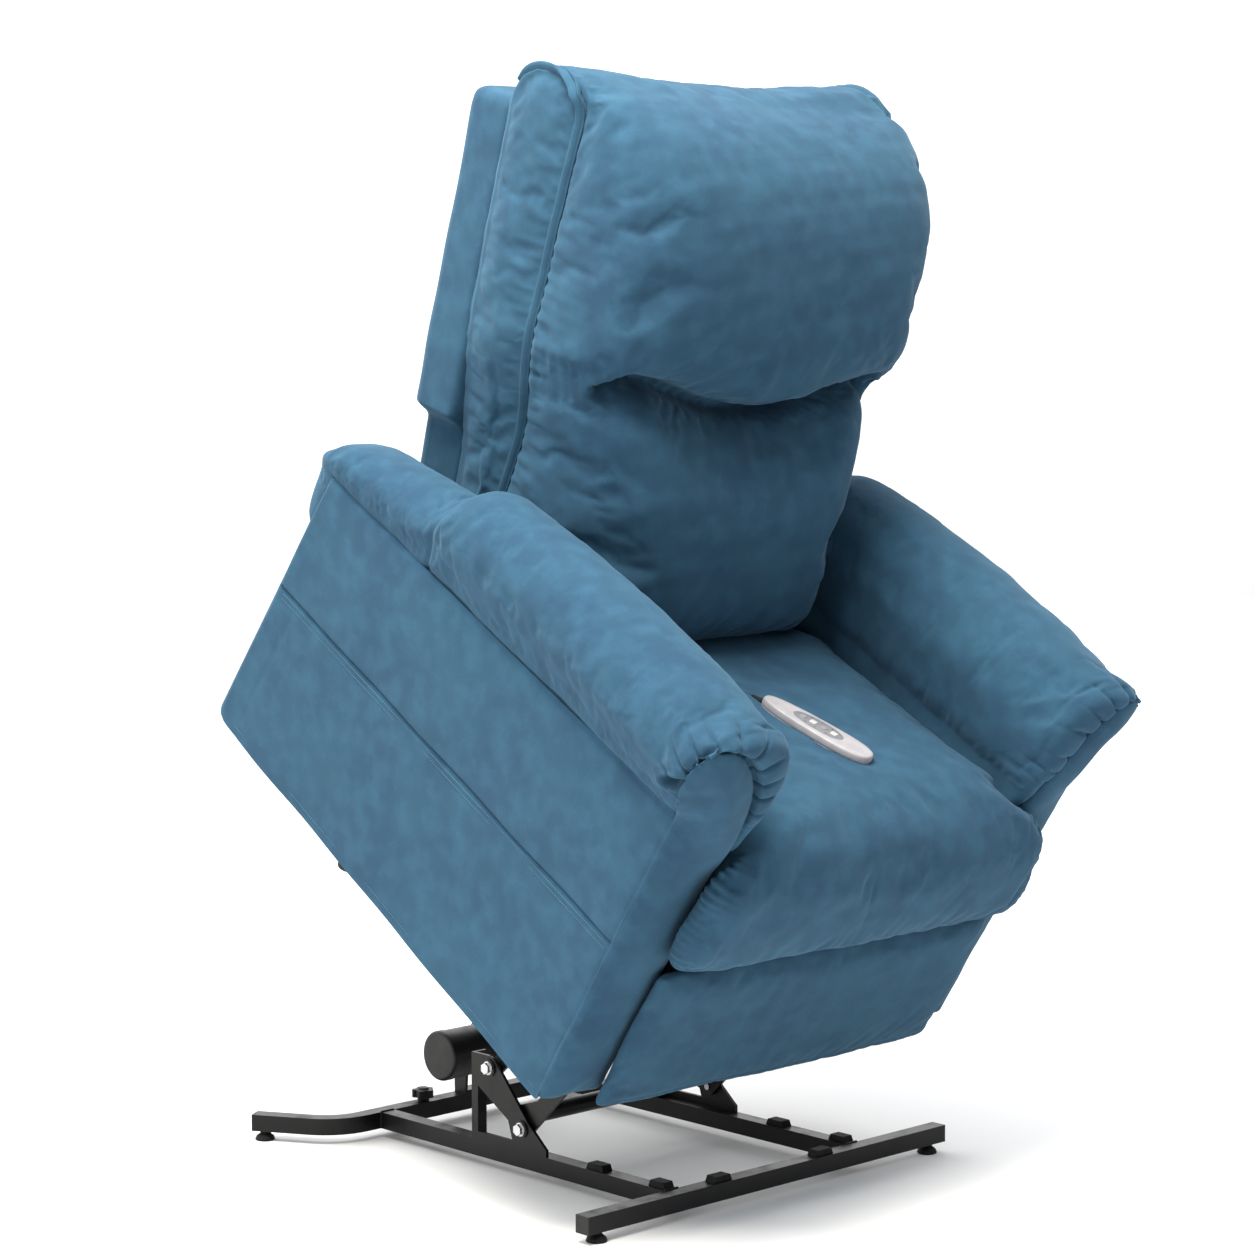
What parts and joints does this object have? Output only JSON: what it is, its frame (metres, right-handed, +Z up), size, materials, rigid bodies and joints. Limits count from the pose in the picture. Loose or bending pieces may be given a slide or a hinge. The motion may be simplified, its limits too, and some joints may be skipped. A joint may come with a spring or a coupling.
{
  "type": "lift recliner chair",
  "caption": "Powered lift recliner chair shown raised: upholstered chair on a four-bar steel lift base with linear actuator, reclining back and folding footrest",
  "frame": {"origin": "on the floor, under the middle of the raised chair's bounding box", "axes": "+X across the chair, -Y the way the chair faces, +Z up; the chair is drawn raised and tipped forward, which is joint value 0"},
  "size_m": [0.9112, 1.1184, 1.5946],
  "materials": {
    "powder_coat": "satin black powder coat on steel",
    "zinc_plate": "zinc plated steel",
    "rod_steel": "ground bright steel",
    "spring_steel": "oiled spring wire",
    "black_plastic": "moulded black nylon",
    "motor_paint": "black enamel on a drawn steel can",
    "rubber": "black moulded rubber",
    "suede": "blue brushed polyester micro-suede with a mottled nap",
    "hardwood": "planed hardwood and plywood, unfinished",
    "handset_white": "off-white moulded ABS, fine satin",
    "keypad_grey": "grey silicone and printed film",
    "key_white": "white silicone key",
    "cord_sheath": "black flexible PVC sheath"
  },
  "bodies": {
    "base": {"base_front_bar": "powder_coat", "base_rear_bar": "powder_coat", "base_rail_left": "powder_coat", "base_rail_right": "powder_coat", "base_end_plugs": "black_plastic", "base_feet": "rubber", "rail_pads": "rubber", "upright_left": "powder_coat", "upright_right": "powder_coat", "base_pivot_bolts": "zinc_plate", "base_pivot_bushes": "black_plastic", "actuator_bracket": "powder_coat", "star_knob": "black_plastic"},
    "lower_links": {"lower_link_left": "powder_coat", "lower_link_right": "powder_coat", "torque_tube": "powder_coat"},
    "upper_links": {"upper_link_left": "zinc_plate", "upper_link_right": "zinc_plate"},
    "actuator": {"actuator_gearbox": "black_plastic", "motor_housing": "motor_paint", "motor_cap": "black_plastic", "actuator_tube": "powder_coat", "actuator_screw": "rod_steel"},
    "push_rod": {"actuator_rod": "rod_steel"},
    "chair": {"mech_plates": "powder_coat", "mech_pivot_bolts": "zinc_plate", "drive_tube": "powder_coat", "cross_members": "powder_coat", "seat_frame": "hardwood", "seat_springs": "spring_steel", "seat_cushion": "suede", "control_box": "black_plastic", "arm_frames": "hardwood", "arm_outer_left": "suede", "arm_outer_right": "suede", "arm_inner_panels": "suede", "arm_front_left": "suede", "arm_front_right": "suede", "arm_pad_left": "suede", "arm_pad_right": "suede", "rear_panel": "suede", "side_glides": "black_plastic", "handset_lower_case": "handset_white", "handset_upper_case": "handset_white", "handset_keypad": "keypad_grey", "handset_strain_relief": "black_plastic", "handset_cord": "cord_sheath"},
    "back": {"back_frame": "hardwood", "back_cover": "suede", "back_cushion": "suede", "back_brackets": "powder_coat"},
    "footrest_lower": {"footrest_lower_links": "zinc_plate"},
    "footrest_upper": {"footrest_upper_links": "zinc_plate"},
    "footrest_rear": {"footrest_rear_links": "zinc_plate"},
    "footrest": {"footrest_board": "hardwood", "footrest_pad": "suede"},
    "key_raise": {"key_raise": "key_white"},
    "key_lower": {"key_lower": "key_white"},
    "key_recline": {"key_recline": "keypad_grey"},
    "key_upright": {"key_upright": "keypad_grey"}
  },
  "joints": [
    {"name": "lift", "type": "hinge", "parent": "base", "child": "lower_links", "pos_m": [0, 0.099, 0.073], "axis": [1, 0, 0], "range_deg": [0, 40.14]},
    {"name": "lift_upper_links", "type": "hinge", "parent": "base", "child": "upper_links", "pos_m": [0, 0.17, 0.152], "axis": [1, 0, 0], "range_deg": [0, 48.9]},
    {"name": "chair_tilt", "type": "hinge", "parent": "lower_links", "child": "chair", "pos_m": [0, -0.11407, 0.2813], "axis": [1, 0, 0], "range_deg": [-73.14, 0]},
    {"name": "actuator_swing", "type": "hinge", "parent": "base", "child": "actuator", "pos_m": [0, 0.434, 0.1], "axis": [1, 0, 0], "range_deg": [0, 24]},
    {"name": "rod_slide", "type": "slide", "parent": "actuator", "child": "push_rod", "axis": [0, 0.7182, -0.6959], "range_m": [0, 0.18476]},
    {"name": "back_recline", "type": "hinge", "parent": "chair", "child": "back", "pos_m": [0, 0.20692, 0.76412], "axis": [-1, 0, 0], "range_deg": [0, 35]},
    {"name": "footrest_lower", "type": "hinge", "parent": "chair", "child": "footrest_lower", "pos_m": [0, -0.16737, 0.43162], "axis": [-1, 0, 0], "range_deg": [0, 94]},
    {"name": "footrest_upper", "type": "hinge", "parent": "footrest_lower", "child": "footrest_upper", "pos_m": [0, -0.09764, 0.28208], "axis": [1, 0, 0], "range_deg": [0, 154.56]},
    {"name": "footrest_swing", "type": "hinge", "parent": "footrest_upper", "child": "footrest", "pos_m": [0, -0.26759, 0.37846], "axis": [-1, 0, 0], "range_deg": [0, 150.56]},
    {"name": "footrest_rear", "type": "hinge", "parent": "chair", "child": "footrest_rear", "pos_m": [0, -0.24929, 0.43566], "axis": [-1, 0, 0], "range_deg": [0, 91.26]},
    {"name": "key_raise_press", "type": "slide", "parent": "chair", "child": "key_raise", "axis": [0, 0.4446, -0.8957], "range_m": [0, 0.0012], "stiffness_N_per_m": 900},
    {"name": "key_lower_press", "type": "slide", "parent": "chair", "child": "key_lower", "axis": [0, 0.4446, -0.8957], "range_m": [0, 0.0012], "stiffness_N_per_m": 900},
    {"name": "key_recline_press", "type": "slide", "parent": "chair", "child": "key_recline", "axis": [0, 0.4446, -0.8957], "range_m": [0, 0.0012], "stiffness_N_per_m": 900},
    {"name": "key_upright_press", "type": "slide", "parent": "chair", "child": "key_upright", "axis": [0, 0.4446, -0.8957], "range_m": [0, 0.0012], "stiffness_N_per_m": 900}
  ],
  "couplings": [
    {"joint": "lift_upper_links", "follows": "lift", "ratio": 1.2185},
    {"joint": "chair_tilt", "follows": "lift", "ratio": -1.8222},
    {"joint": "actuator_swing", "follows": "lift", "ratio": 0.59803},
    {"joint": "rod_slide", "follows": "lift", "m_per_rad": 0.26375},
    {"joint": "footrest_lower", "follows": "back_recline", "ratio": 2.6857},
    {"joint": "footrest_upper", "follows": "back_recline", "ratio": 4.416},
    {"joint": "footrest_swing", "follows": "back_recline", "ratio": 4.3017},
    {"joint": "footrest_rear", "follows": "back_recline", "ratio": 2.6075}
  ]
}
